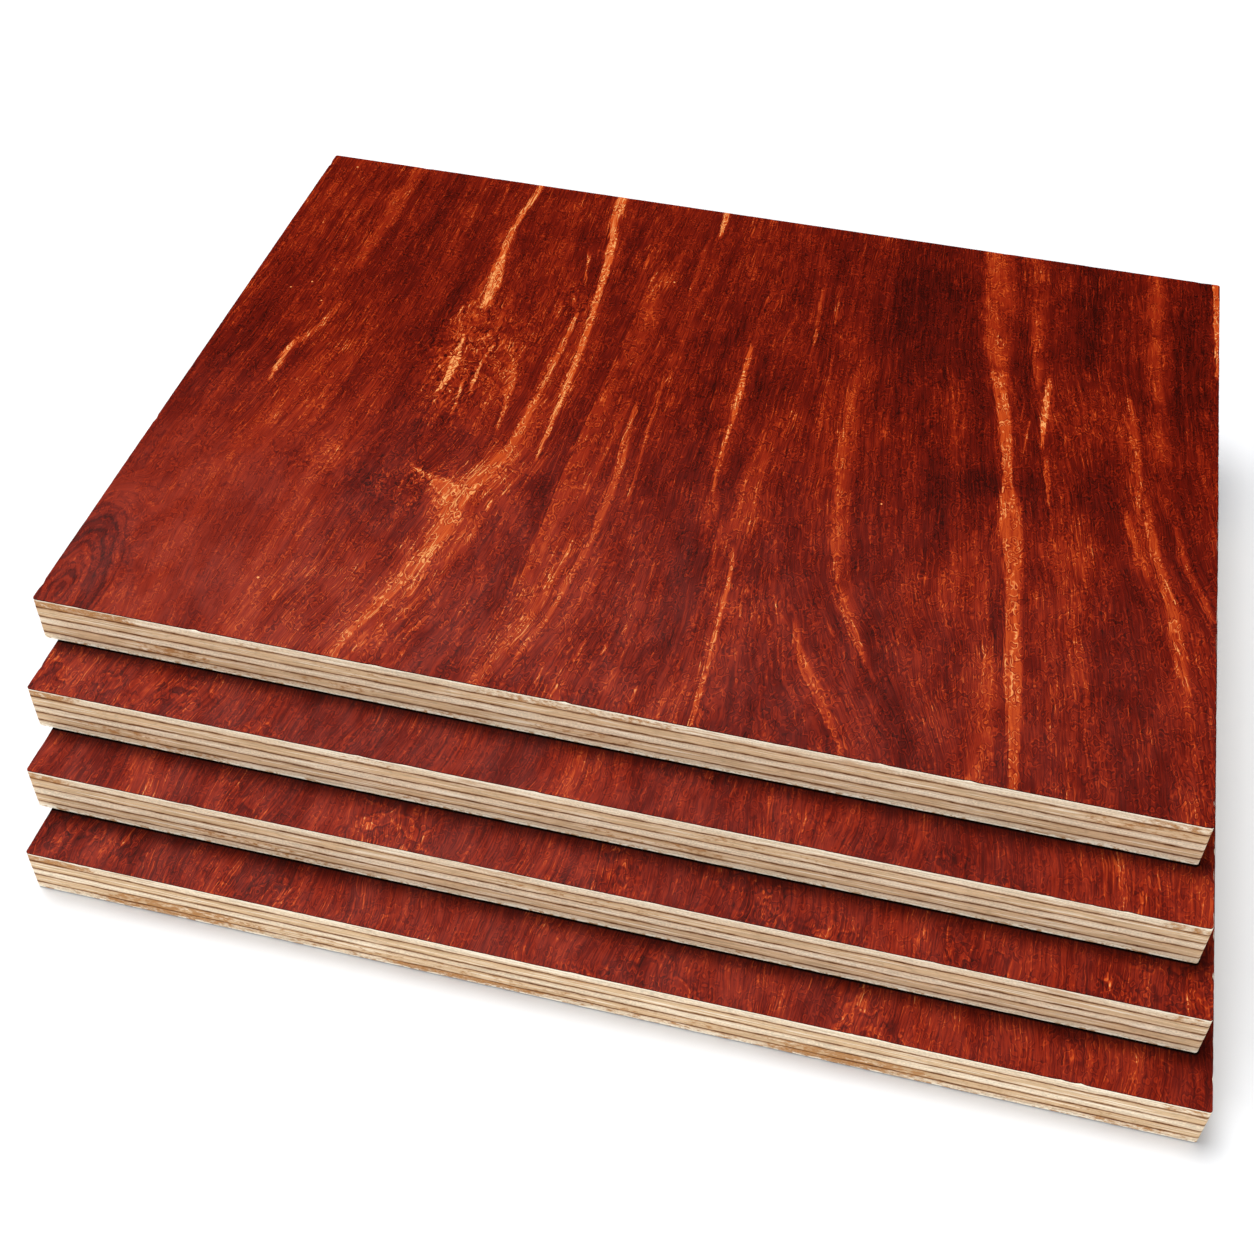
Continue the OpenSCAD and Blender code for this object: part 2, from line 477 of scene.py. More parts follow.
def along(stations, back):
    """The right position and width at a back position on the smooth line through the stations."""
    if back >= stations[0][0]:
        return stations[0][1:]
    last = len(stations) - 1
    for at in range(last):
        before, first = stations[max(0, at - 1)], stations[at]
        second, after = stations[at + 1], stations[min(last, at + 2)]
        if back >= second[0]:
            gap = first[0] - second[0]
            gap_in = before[0] - first[0]
            gap_out = second[0] - after[0]
            t = (first[0] - back) / gap
            u = 1 - t
            values = []
            for a, b, c, d in zip(before[1:], first[1:], second[1:], after[1:]):
                rise = (c - b) / gap
                rise_in = (b - a) / gap_in if gap_in > 0 else rise
                rise_out = (d - c) / gap_out if gap_out > 0 else rise
                start = (rise_in + rise) / 2 * gap
                end = (rise + rise_out) / 2 * gap
                held = b * u * u * (1 + 2 * t) + c * t * t * (3 - 2 * t)
                values.append(held + start * t * u * u - end * t * t * u)
            return values
    return stations[-1][1:]


def streak_reach(streak, back):
    """The line, the reach to each side and the presence of a streak at a back position."""
    _, left, right, stations = streak
    line, width = along(stations, back)
    rear, front = stations[0][0], stations[-1][0]
    presence = 1.0
    if rear < HALF_DEPTH - STREAK_END:
        presence *= eased((rear + 1 - back) / STREAK_END)
    if front > STREAK_END - HALF_DEPTH:
        presence *= eased((back - front + 1) / STREAK_END)
    width = max(width, LEAST_WIDTH)
    return line, left * width, right * width, presence


def runs_past(streak, back, spare):
    """Whether a streak runs past a back position, with some millimetres to spare."""
    stations = streak[3]
    return stations[-1][0] - spare <= back <= stations[0][0] + spare


def sorted_in_layers(streaks):
    """Spreads streaks over layers in which no two come near each other."""
    spare = 4
    step = 3

    def clear_of(other, span):
        for back, low, high in span:
            if runs_past(other, back, spare):
                line, left, right, _ = streak_reach(other, back)
                if line - left - FADE < high and line + right + FADE > low:
                    return False
        return True

    layers = []
    for streak in streaks:
        stations = streak[3]
        span = []
        for back in range(int(stations[-1][0]) - spare, int(stations[0][0]) + spare + 1, step):
            line, left, right, _ = streak_reach(streak, back)
            span.append((back, line - left - 2 * FADE, line + right + 2 * FADE))
        for layer in layers:
            if all(clear_of(other, span) for other in layer):
                layer.append(streak)
                break
        else:
            layers.append([streak])
    return layers


def streak_field(layer, right, back):
    """Signed share of a streak's reach, its glow and shares per millimetre, at one place."""
    best = (FAR, 0.0, 0.5)
    nearest = math.inf
    for streak in layer:
        if not runs_past(streak, back, 3):
            continue
        line, left_reach, right_reach, presence = streak_reach(streak, back)
        offset = right - line
        reach = left_reach if offset < 0 else right_reach
        beyond = abs(offset) - reach
        if beyond < nearest:
            nearest = beyond
            fade = eased((2 * FADE - beyond) / FADE)
            best = (offset / reach, streak[0] * presence * fade, 1 / reach)
    return best


def grain_run(right, back):
    """The place across the grain, in millimetres, that a point belongs to."""
    row = max(i for i, rear in enumerate(GRAIN_ROWS[:-1]) if back <= rear or i == 0)
    share = (GRAIN_ROWS[row] - back) / (GRAIN_ROWS[row] - GRAIN_ROWS[row + 1])
    share = eased(share) * 0.5 + min(1.0, max(0.0, share)) * 0.5
    lines = [line[row] + (line[row + 1] - line[row]) * share for line in GRAIN_LINES]
    home = [line[HOME_ROW] for line in GRAIN_LINES]
    for first, second, from_home, to_home in zip(lines, lines[1:], home, home[1:]):
        if right < second:
            return from_home + (to_home - from_home) * (right - first) / (second - first)
    return right


def soft_spots(spots, right, back):
    """The sum of soft elliptical spots at a place, each full to a quarter of its half width."""
    total = 0.0
    for middle_right, middle_back, half_width, half_depth, weight in spots:
        reach = math.hypot((right - middle_right) / half_width, (back - middle_back) / half_depth)
        total += weight * (1 - eased(reach - 0.25))
    return total


def lay_figure(bm, middle):
    """Writes the figure of the top sheet on its film's vertices, for its material to read."""
    figure = bm.verts.layers.float_vector.new("figure")
    fields = []
    for kind, streaks in (("crisp", CRISP_STREAKS), ("soft", SOFT_STREAKS)):
        for number, layer in enumerate(sorted_in_layers(streaks)):
            fields.append((bm.verts.layers.float_vector.new(f"{kind}_{number}"), layer))
    pith_right, pith_back, half_width, half_depth = PITH
    for vert in bm.verts:
        right = (vert.co.x - middle.x) / MM
        back = (vert.co.y - middle.y) / MM
        across = grain_run(right, back)
        reach = math.hypot((right - pith_right) / half_width, (back - pith_back) / half_depth)
        turned = 1 - eased((reach - 0.95) / 0.35)
        across += (pith_right + PITH_GRAIN * reach - across) * turned
        tone = CLOUD_DEPTH * soft_spots(CLOUDS, right, back)
        wild = min(1.0, soft_spots(BURRS, right, back))
        vert[figure] = Vector((across, tone, wild))
        for field, layer in fields:
            vert[field] = Vector(streak_field(layer, right, back))


# ---------- film finish


def lay_streaks(kit, tone, narrow, fine, mottle, tremble):
    """The tone with the soft bands laid over it, and then the crisp streaks with frayed sides."""
    fray = kit.plus(kit.sway(fine, 0.9), kit.times(tremble, 0.8))
    grained = kit.minus(kit.gain(narrow, 0.32, kit.times(fine, 0.2)), 0.26)
    glow = 0
    for number in range(len(sorted_in_layers(SOFT_STREAKS))):
        share, strength, per_mm = kit.split(kit.carried(f"soft_{number}"))
        share = kit.gain(kit.times(fray, 1.6), per_mm, share)
        inside = kit.fall(kit.math("ABSOLUTE", share), 0, 1)
        glow = kit.gain(inside, strength, glow)
    patchy = kit.ramp(mottle, 0.36, 0.62, 1.2, 2.8, smooth=False)
    glow = kit.times(glow, patchy, clamp=True)
    step = kit.minus(kit.plus(grained, 0.7), tone)
    tone = kit.gain(step, glow, tone)
    for number in range(len(sorted_in_layers(CRISP_STREAKS))):
        share, strength, per_mm = kit.split(kit.carried(f"crisp_{number}"))
        share = kit.math("ABSOLUTE", kit.gain(fray, per_mm, share))
        present = kit.ramp(strength, 0, 0.25)
        halo = kit.ramp(share, 0.7, 2.6, 0.11, 0)
        tone = kit.gain(kit.times(halo, present), strength, tone)
        inside = kit.times(kit.fall(share, 0.6, 1.03), present)
        target = kit.plus(kit.gain(strength, 0.5, 0.44), grained)
        tone = kit.gain(kit.minus(target, tone), inside, tone)
    return tone


def lay_knots(kit, tone, spot, wild, mottle, seed):
    """The tone with the calm front left corner, the rings of its pith, and pinholes in the burrs."""
    right, back, _ = kit.split(spot)
    calm = kit.times(kit.ramp(right, -115, -72, 0.42, 0), kit.fall(back, -50, 0))
    tone = kit.gain(kit.minus(CALM_TONE, tone), calm, tone)

    pith_right, pith_back, half_width, half_depth = PITH
    pith = kit.vector("SUBTRACT", spot, (pith_right, pith_back, 0))
    pith = kit.vector("MULTIPLY", pith, (1 / half_width, 1 / half_depth, 0))
    reach = kit.plus(kit.vector("LENGTH", pith), kit.sway(mottle, 0.22))
    rings = kit.ramp(kit.math("SINE", kit.times(reach, 44)), -0.2, 0.9)
    rings = kit.times(rings, kit.fall(reach, 0.85, 1.15))
    tone = kit.gain(rings, PITH_RINGS, tone)
    arch = kit.times(kit.ramp(reach, 0.42, 0.56), kit.fall(reach, 0.74, 0.88))
    tone = kit.gain(arch, PITH_ARCH, tone)

    dots = kit.grain(spot, (1.15, 0.85), seed + 13)
    bright = kit.times(kit.ramp(dots, 0.62, 0.7), wild)
    tone = kit.gain(bright, BRIGHT_PINHOLES, tone)
    dark = kit.times(kit.fall(dots, 0.32, 0.4), wild)
    tone = kit.gain(dark, DARK_PINHOLES, tone)
    for speck_right, speck_back in SPECKS:
        apart = kit.vector("SUBTRACT", spot, (speck_right, speck_back, 0))
        tone = kit.plus(tone, kit.ramp(kit.vector("LENGTH", apart), 0.2, 0.45, 0.6, 0))
    return tone


def shade_foot(kit, colour, settings, object_place, cover):
    """The colour with painted shadow towards the foot of the sheet that lies on the film, and a painted
    near-black contact shadow right at it.
    """
    from_cover = kit.vector("ABSOLUTE", kit.vector("SUBTRACT", object_place, tuple(cover)))
    from_cover = kit.vector("MULTIPLY", from_cover, (1 / MM, 1 / MM, 0))
    inner = (HALF_LENGTH - FOOT, HALF_DEPTH - FOOT, 0)
    beyond = kit.vector("MAXIMUM", kit.vector("SUBTRACT", from_cover, inner), (0, 0, 0))
    away = kit.minus(kit.vector("LENGTH", beyond), FOOT)
    # Painted shadow: darker within about 5.6 mm of the foot of the sheet above
    foot_shadow = kit.ramp(away, 0.2, 5.6, 0.66, 0)
    colour = kit.mix(foot_shadow, colour, dimmed(settings.dark, 0.6))
    # Painted contact shadow: a near-black line right at the foot
    return kit.mix(kit.fall(away, 0.2, 0.62), colour, settings.contact_shadow)


def film_finish(name, settings, middle, seed, figured, cover):
    """The resin film. middle is the centre of the face and cover that of the sheet on it, if any."""
    kit = Nodes(bpy.data.materials.new(name))
    object_place = kit.own_place()
    start = (-middle.x / MM, -middle.y / MM, 0)
    spot = kit.vector("MULTIPLY_ADD", object_place, (1 / MM, 1 / MM, 0), start)
    right, back, _ = kit.split(spot)

    # Where the grain runs: nearly straight, with slow bends and fine ripples
    ripple = kit.sway(kit.grain(spot, (0.1, 0.03), seed + 2), 1)
    tremble = kit.sway(kit.grain(spot, (0.6, 0.2), seed + 3), 0.32)
    wobble = kit.plus(ripple, tremble)
    if figured:
        run, cloud, wild = kit.split(kit.carried("figure"))
        across = kit.gain(wobble, kit.gain(wild, 2.6, 1), run)
    else:
        bend = kit.sway(kit.grain(spot, (0.016, 0.02), seed + 1), 7)
        across = kit.plus(kit.plus(right, bend), wobble)
        wild = kit.ramp(kit.grain(spot, (0.03, 0.03), seed + 14), 0.48, 0.62)
    lines = kit.node("ShaderNodeCombineXYZ", enumerate((across, back))).outputs[0]

    # Tone: broad bands, narrow bands and fine lines along the grain, and mottle
    broad = kit.grain(lines, (0.07, 0.006), seed + 4, detail=2)
    mean_tone = TOP_TONE if figured else LOWER_TONE
    tone = kit.gain(broad, BROAD_BANDS, mean_tone - BROAD_BANDS / 2)
    narrow = kit.grain(lines, (0.75, 0.02), seed + 6, detail=3, rough=0.62)
    tone = kit.even_gain(narrow, NARROW_BANDS, tone)
    fine = kit.grain(lines, (2.5, 0.12), seed + 7)
    tone = kit.even_gain(fine, FINE_LINES, tone)
    mottle = kit.grain(spot, (0.11, 0.05), seed + 8, detail=5, rough=0.66)
    tone = kit.even_gain(mottle, MOTTLE, tone)
    if figured:
        tone = kit.plus(tone, cloud)

    # Bright hairs along the grain, in flocks, each with its dark side
    hair_noise = kit.grain(lines, (1.9, 0.085), seed + 11)
    flock = kit.grain(spot, (0.07, 0.035), seed + 12, detail=3, rough=0.6)
    cut = kit.ramp(flock, 0.4, 0.66, 0.8, 0.56, smooth=False)
    hair = kit.ramp(kit.minus(hair_noise, cut), 0, 0.035)
    gap = kit.fall(kit.minus(cut, hair_noise), 0, 0.06)
    gap = kit.times(gap, kit.minus(1, hair))

    # Curls: fine worm-like ridges in the resin, strongest round the burrs. Each pale crest is partly its
    # own paler colour and partly painted highlight, and the dark band beside it is painted shade.
    curl_phase = kit.times(kit.grain(spot, (0.42, 0.24), seed + 9), 30)
    worn = kit.ramp(kit.grain(spot, (0.24, 0.18), seed + 10, detail=2), 0.36, 0.5)
    lively = kit.gain(wild, 0.25, 0.7)
    curl, trough_shade = (
        kit.times(kit.times(kit.ramp(kit.math(wave, curl_phase), 0.45, 0.95), worn), lively)
        for wave in ("SINE", "COSINE"))

    # Whorls: broader curls where the grain runs wild
    whorl_phase = kit.times(kit.grain(spot, (0.15, 0.09), seed + 15, detail=2), 24)
    whorl = kit.ramp(kit.math("SINE", whorl_phase), 0.3, 0.95, 0, 0.12)
    hollow = kit.ramp(kit.math("COSINE", whorl_phase), 0.3, 0.95, 0, 0.13)
    whorl = kit.times(kit.minus(whorl, hollow), wild)

    if figured:
        tone = lay_streaks(kit, tone, narrow, fine, mottle, tremble)
    tone = kit.plus(tone, whorl)
    tone = kit.gain(hair, HAIRS, tone)
    tone = kit.gain(gap, HAIR_GAPS, tone)
    curl_height = TOP_CURLS if figured else LOWER_CURLS
    tone = kit.gain(curl, curl_height, tone)
    # Painted shade in the band beside each curl
    tone = kit.gain(trough_shade, -curl_height, tone)
    if figured:
        tone = lay_knots(kit, tone, spot, wild, mottle, seed)

    dye = kit.node("ShaderNodeValToRGB", ((0, tone),))
    stops = dye.color_ramp.elements
    stops[0].position = 0.1
    stops[0].color = opaque(settings.dark)
    stops[1].color = opaque(settings.resin)
    for position, tone in ((0.42, settings.red), (0.66, settings.ember), (0.86, settings.streak)):
        stops.new(position).color = opaque(tone)
    colour = dye.outputs[0]

    # A pale film over the front of the face, most of all at the left: partly handling dust, partly a
    # painted sheen
    to_front = kit.fall(back, -HALF_DEPTH, 20)
    to_left = kit.ramp(right, -60, HALF_LENGTH, 1, 0.35)
    dust_and_sheen_share = kit.times(kit.times(to_front, to_left), kit.ramp(mottle, 0.3, 0.7, 0.018, 0.046))
    colour = kit.mix(dust_and_sheen_share, colour, settings.dust_and_sheen)
    # The film's upright sawn edge is drawn dark: partly the resin's own darker edge, partly painted shade
    rim = kit.fall(kit.math("ABSOLUTE", kit.upright()), 0.35, 0.85)
    colour = kit.mix(rim, colour, settings.rim)
    # Painted shadow and contact shadow round the foot of the sheet that lies on this film
    if cover:
        colour = shade_foot(kit, colour, settings, object_place, cover)

    height = kit.gain(hair, 0.3, kit.times(fine, 0.5))
    height = kit.gain(kit.minus(curl, trough_shade), 0.35, height)
    rough = kit.ramp(mottle, 0.3, 0.7, settings.roughness - 0.02, settings.roughness + 0.04)
    rough = kit.gain(rim, 0.6, rough)
    return kit.surface(colour, rough, 0.04, (0.6, 0.15, height))


# ---------- veneer finish


def veneer_finish(name, settings, body, grain_scale, stain_reach, seed):
    """Sawn veneer. grain_scale is short across the fibres and long along them."""
    kit = Nodes(bpy.data.materials.new(name))
    spot = kit.vector("MULTIPLY", kit.own_place(), (1 / MM, 1 / MM, 1 / MM))
    above, below, height = kit.split(kit.carried("layer_place"))
    laid_stain_and_shade = kit.carried("stain", "Fac")
    sawn = kit.grain(spot, grain_scale, seed + 1, detail=3, rough=0.62)
    broad = kit.grain(spot, (0.05, 0.05, 0.5), seed + 2, detail=2)
    mottle = kit.grain(spot, (0.45, 0.45, 0.9), seed + 3, detail=3, rough=0.65)
    marks = kit.grain(spot, (0.05, 0.05, 2.6), seed + 6, detail=4, rough=0.62)

    # Brown stains: laid ones, and a few where the glue has soaked through. On the lowest sheet the laid
    # ones also carry painted shade towards the floor.
    patch = kit.grain(spot, (0.03, 0.03, 0.3), seed + 5, detail=4, rough=0.6)
    soaked = kit.ramp(patch, 1 - stain_reach, 1.08 - stain_reach, 0, 0.55)
    ragged = kit.ramp(kit.gain(kit.minus(mottle, 0.5), 2.2, laid_stain_and_shade), 0.25, 0.75)
    ragged = kit.times(ragged, kit.ramp(laid_stain_and_shade, 0, 0.15))
    stain = kit.math("MAXIMUM", soaked, ragged)
    stain = kit.times(stain, kit.ramp(sawn, 0.25, 0.6, 0.6, 1))

    # Glue lines, from each vertex's distances to the lines below and above it
    soak = kit.grain(spot, (0.1, 0.1, 0.3), seed + 4, detail=4, rough=0.6)
    width = kit.ramp(soak, 0.36, 0.64, 0.12, 0.38)
    edge = kit.minus(kit.math("MINIMUM", above, below), width)
    line = kit.times(kit.fall(edge, -0.12, 0.1), kit.ramp(mottle, 0.36, 0.6, 1, 0.72))

    # The sawn upper arris catches the light and the lower one is chalky and soiled
    uneven = kit.minus(soak, 0.5)
    arris_highlight = kit.gain(uneven, 1.6, kit.minus(SHEET_THICKNESS, height))
    sole = kit.gain(uneven, 2.4, height)
    chalk = kit.times(kit.fall(sole, 0.7, 1.3), kit.ramp(mottle, 0.44, 0.54))
    soil = kit.times(kit.ramp(sole, 0.5, 1.2, 0.85, 0), kit.fall(mottle, 0.4, 0.5))

    colour = kit.mix(kit.ramp(sawn, 0.34, 0.66), dimmed(body, 0.8), dimmed(body, 1.12))
    coats = (
        (kit.ramp(broad, 0.36, 0.64, 0, 0.3), settings.tan),
        (kit.ramp(mottle, 0.5, 0.7, 0, 0.45), dimmed(body, 0.62)),
        # Saw marks run along every edge
        (kit.ramp(marks, 0.52, 0.66, 0, 0.55), dimmed(body, 0.55)),
        (kit.ramp(marks, 0.36, 0.48, 0.75, 0), settings.arris),
        (stain, settings.stain),
        # The wood beside a glue line has soaked some of it up
        (kit.ramp(edge, 0, 0.6, 0.5, 0), settings.stain),
        (line, settings.glue),
        # Painted highlight along the upper arris
        (kit.ramp(arris_highlight, 0.45, 0.85, 0.9, 0), settings.arris),
        (chalk, settings.arris),
        (soil, settings.stain),
        # Faces that look down, on the rubbed lower arris, are painted near black: painted shade under
        # each sheet
        (kit.fall(kit.upright(), -0.75, -0.3), settings.underside_shade),
    )
    for share, coat in coats:
        colour = kit.mix(share, colour, coat)
    relief = kit.gain(mottle, 0.6, sawn)
    return kit.surface(colour, kit.ramp(sawn, 0.3, 0.7, 0.74, 0.9), 0.1, (0.5, 0.25, relief))


# ---------- shapes


def rounded(bm, parts, kind, radius, steps):
    """Rounds corners (kind VERTICES) or arrises (kind EDGES)."""
    bmesh.ops.bevel(
        bm, geom=parts, offset=radius, offset_type="OFFSET", affect=kind, segments=steps,
        profile=0.5, material=-1, clamp_overlap=kind == "EDGES")


def outline_in_cells(low, high, across, along):
    """A flat bmesh at the low corner's height: the sheet's plan, cut into cells each way."""
    bm = bmesh.new()
    bmesh.ops.create_grid(bm, x_segments=across, y_segments=along, size=0.5)
    size = high - low
    bmesh.ops.scale(bm, vec=(size.x, size.y, 1), verts=bm.verts)
    middle = (low + high) / 2
    bmesh.ops.translate(bm, vec=(middle.x, middle.y, low.z), verts=bm.verts)
    corners = [vert for vert in bm.verts if len(vert.link_faces) == 1]
    rounded(bm, corners, "VERTICES", CORNER_RADIUS, CORNER_STEPS)
    return bm


def outline_in_one(low, high, cell):
    """The same plan as one face, with only its rim cut into cells."""
    bm = outline_in_cells(low, high, 1, 1)
    for edge in [edge for edge in bm.edges if edge.calc_length() > 4 * CORNER_RADIUS]:
        bmesh.ops.subdivide_edges(bm, edges=[edge], cuts=round(edge.calc_length() / cell) - 1)
    return bm


def raised(bm, low, high):
    """Extrudes the outline to the high corner's height. Returns its lower and upper vertices."""
    foot = list(bm.verts)
    made = bmesh.ops.extrude_face_region(bm, geom=bm.faces[:])["geom"]
    head = [part for part in made if isinstance(part, bmesh.types.BMVert)]
    bmesh.ops.translate(bm, vec=(0, 0, high.z - low.z), verts=head)
    bmesh.ops.recalc_face_normals(bm, faces=bm.faces[:])
    return foot, head


def outward(low, high, point):
    """The way out of the sheet at a point on its rim."""
    away = point - (low + high) / 2
    half = (high - low) / 2
    across = max(abs(away.x) - half.x + CORNER_RADIUS, 0)
    back = max(abs(away.y) - half.y + CORNER_RADIUS, 0)
    return Vector((math.copysign(across, away.x), math.copysign(back, away.y), 0)).normalized()


def on_rim(vert):
    """Whether a vertex has an upright face beside it."""
    return any(abs(face.normal.z) < 0.5 for face in vert.link_faces)


def keep_level(bm, low, high):
    """Brings vertices that the bevel left outside the slab back to its faces."""
    for vert in bm.verts:
        vert.co.z = max(vert.co.z, low.z)
        if high:
            vert.co.z = min(vert.co.z, high.z)


def ease_rims(bm, ease, facing=(1, -1)):
    """Rubs back the arrises that run round a slab, at its head (1), its foot (-1) or both."""
    rims = []
    for edge in bm.edges:
        slopes = [face.normal.z for face in edge.link_faces]
        if min(abs(slope) for slope in slopes) < 0.5:
            if any(slope * side > 0.9 for slope in slopes for side in facing):
                rims.append(edge)
    rounded(bm, rims, "EDGES", ease, 2)


def finished_piece(bm, layer, sheet, material):
    """The bmesh as an object at the origin that rides on the stack in place of its node."""
    name = f"{layer}_{sheet}"
    mesh = bpy.data.meshes.new(name)
    bm.to_mesh(mesh)
    bm.free()
    mesh.materials.append(material)
    piece = bpy.data.objects.new(name, mesh)
    bpy.context.scene.collection.objects.link(piece)
    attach(piece, "root")
    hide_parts(f"sheet_{sheet}_{layer}")


def build_film(sheet, layer, settings, material, figured):
    """A thin film whose sawn edge is chipped back in places."""
    low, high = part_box(f"sheet_{sheet}_{layer}")
    if figured:
        size = high - low
        bm = outline_in_cells(low, high, round(size.x / CELL), round(size.y / CELL))
    else:
        bm = outline_in_one(low, high, FILM_RIM_CELL)
    foot, head = raised(bm, low, high)
    level = 31.7 * sheet + (11.3 if layer == "top_film" else 0)
    for vert in [vert for vert in foot + head if on_rim(vert)]:
        place = Vector((vert.co.x / MM, vert.co.y / MM, level))
        rub = FILM_RUB + FILM_RUB_SPREAD * noise.noise(place * 0.9)
        bite = max(0.0, noise.noise(place * 0.11) - BITE_FROM) * BITE_DEPTH
        nick = max(0.0, noise.noise(place * 0.6) - NICK_FROM) * NICK_DEPTH
        if layer == "bottom_film":
            rub += UNDERSIDE_RUB
        depth = min(settings.chip, (bite + nick) * MM) + rub * MM
        vert.co -= outward(low, high, vert.co) * depth
    if figured:
        lay_figure(bm, (low + high) / 2)
    else:
        ease_rims(bm, FILM_ARRIS)
    keep_level(bm, low, high)
    finished_piece(bm, layer, sheet, material)


def glue_height(sheet, line, level, place, wander):
    """The height of a glue line at a place on the rim, or its level for the two film lines."""
    if line in (0, len(VENEERS)):
        return level
    spot = Vector((place.x / MM, place.y / MM, 17.3 * sheet + 5.1 * line))
    slow = noise.noise(Vector((spot.x * 0.012, spot.y * 0.012, spot.z)))
    quick = noise.noise(Vector((spot.x * 0.07, spot.y * 0.07, spot.z)))
    return level + wander * (slow + 0.3 * quick)


def stain_and_shade_at(sheet, layer, from_left):
    """How brown the front edge of a veneer is, at a distance from the sheet's left end: stains, and on
    the lowest sheet also painted shade towards the floor.
    """
    total = 0.0
    for middle, half_width, strength in FRONT_STAINS_AND_SHADE.get((sheet, layer), ()):
        total += strength * (1 - eased((abs(from_left - middle) / half_width - 0.4) / 0.6))
    return min(1.0, total)


def build_veneer(sheet, layer, settings, material, slot):
    """One veneer, with wandering glue lines and a rough-sawn rim."""
    low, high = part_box(f"sheet_{sheet}_{layer}")
    line = VENEERS.index(layer)
    bm = outline_in_one(low, high, CELL)
    foot, head = raised(bm, low, high)
    for vert in foot:
        vert.co.z = glue_height(sheet, line, low.z, vert.co, settings.wander)
    for vert in head:
        vert.co.z = glue_height(sheet, line + 1, high.z, vert.co, settings.wander)
    for vert in foot + head:
        place = Vector((vert.co.x / MM, vert.co.y / MM, 23.9 * sheet + 7.7 * line))
        rub = max(0.0, VENEER_RUB + VENEER_RUB_SPREAD * noise.noise(place * 0.31)) * MM
        vert.co -= outward(low, high, vert.co) * rub
    if line == 0:
        ease_rims(bm, settings.lower_arris, facing=(-1,))
        ease_rims(bm, settings.ease, facing=(1,))
        keep_level(bm, low, None)
    else:
        ease_rims(bm, settings.ease)
    layer_place = bm.verts.layers.float_vector.new("layer_place")
    # This attribute holds the listed stains and, on the lowest sheet, painted shade towards the floor
    stain = bm.verts.layers.float.new("stain")
    foot_of_sheet = (sheet - 1) * SHEET_THICKNESS
    front_edge = low.y + 1.5 * MM
    for vert in bm.verts:
        above = below = FAR
        if line > 0:
            above = (vert.co.z - glue_height(sheet, line, low.z, vert.co, settings.wander)) / MM
        if line < len(VENEERS) - 1:
            next_line = glue_height(sheet, line + 1, high.z, vert.co, settings.wander)
            below = (next_line - vert.co.z) / MM
        vert[layer_place] = Vector((above, below, vert.co.z / MM - foot_of_sheet))
        if vert.co.y < front_edge:
            vert[stain] = stain_and_shade_at(sheet, layer, (vert.co.x - low.x) / MM)
    finished_piece(bm, layer, sheet, material)


# ---------- operators


class PLYWOOD_OT_films(bpy.types.Operator):
    """Build the red resin film on both faces of every sheet"""

    bl_idname = "plywood.films"
    bl_label = "Resin Films"
    bl_options = {"REGISTER", "UNDO"}

    def execute(self, context):
        settings = context.scene.plywood_film
        for sheet in range(1, SHEET_COUNT + 1):
            for layer in FILMS:
                on_top = layer == "top_film"
                low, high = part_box(f"sheet_{sheet}_{layer}")
                figured = on_top and sheet == TOP_SHEET
                seed = 3.0 * sheet + (1.5 if on_top else 0.0)
                cover = None
                if on_top and not figured:
                    cover_low, cover_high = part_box(f"sheet_{sheet + 1}_bottom_film")
                    cover = (cover_low + cover_high) / 2
                middle = (low + high) / 2
                name = f"resin_{layer}_{sheet}"
                material = film_finish(name, settings, middle, seed, figured, cover)
                build_film(sheet, layer, settings, material, figured)
        return {"FINISHED"}


class PLYWOOD_OT_veneers(bpy.types.Operator):
    """Build the five veneers of every sheet, with their glue lines"""

    bl_idname = "plywood.veneers"
    bl_label = "Veneers"
    bl_options = {"REGISTER", "UNDO"}

    def execute(self, context):
        settings = context.scene.plywood_veneer
        front_to_back = (1.6, 0.05, 2.4)
        side_to_side = (0.05, 1.6, 3.2)
        face = veneer_finish("sawn_face", settings, settings.pale, front_to_back, 0.40, 1)
        core = veneer_finish("sawn_core", settings, settings.pale, front_to_back, 0.26, 2)
        band = veneer_finish("sawn_crossband", settings, settings.tan, side_to_side, 0.34, 3)
        looks = {"core": (core, "face_veneer")}
        looks["bottom_face"] = looks["top_face"] = (face, "face_veneer")
        looks["lower_crossband"] = looks["upper_crossband"] = (band, "crossband_veneer")
        for sheet in range(1, SHEET_COUNT + 1):
            for layer in VENEERS:
                build_veneer(sheet, layer, settings, *looks[layer])
        return {"FINISHED"}


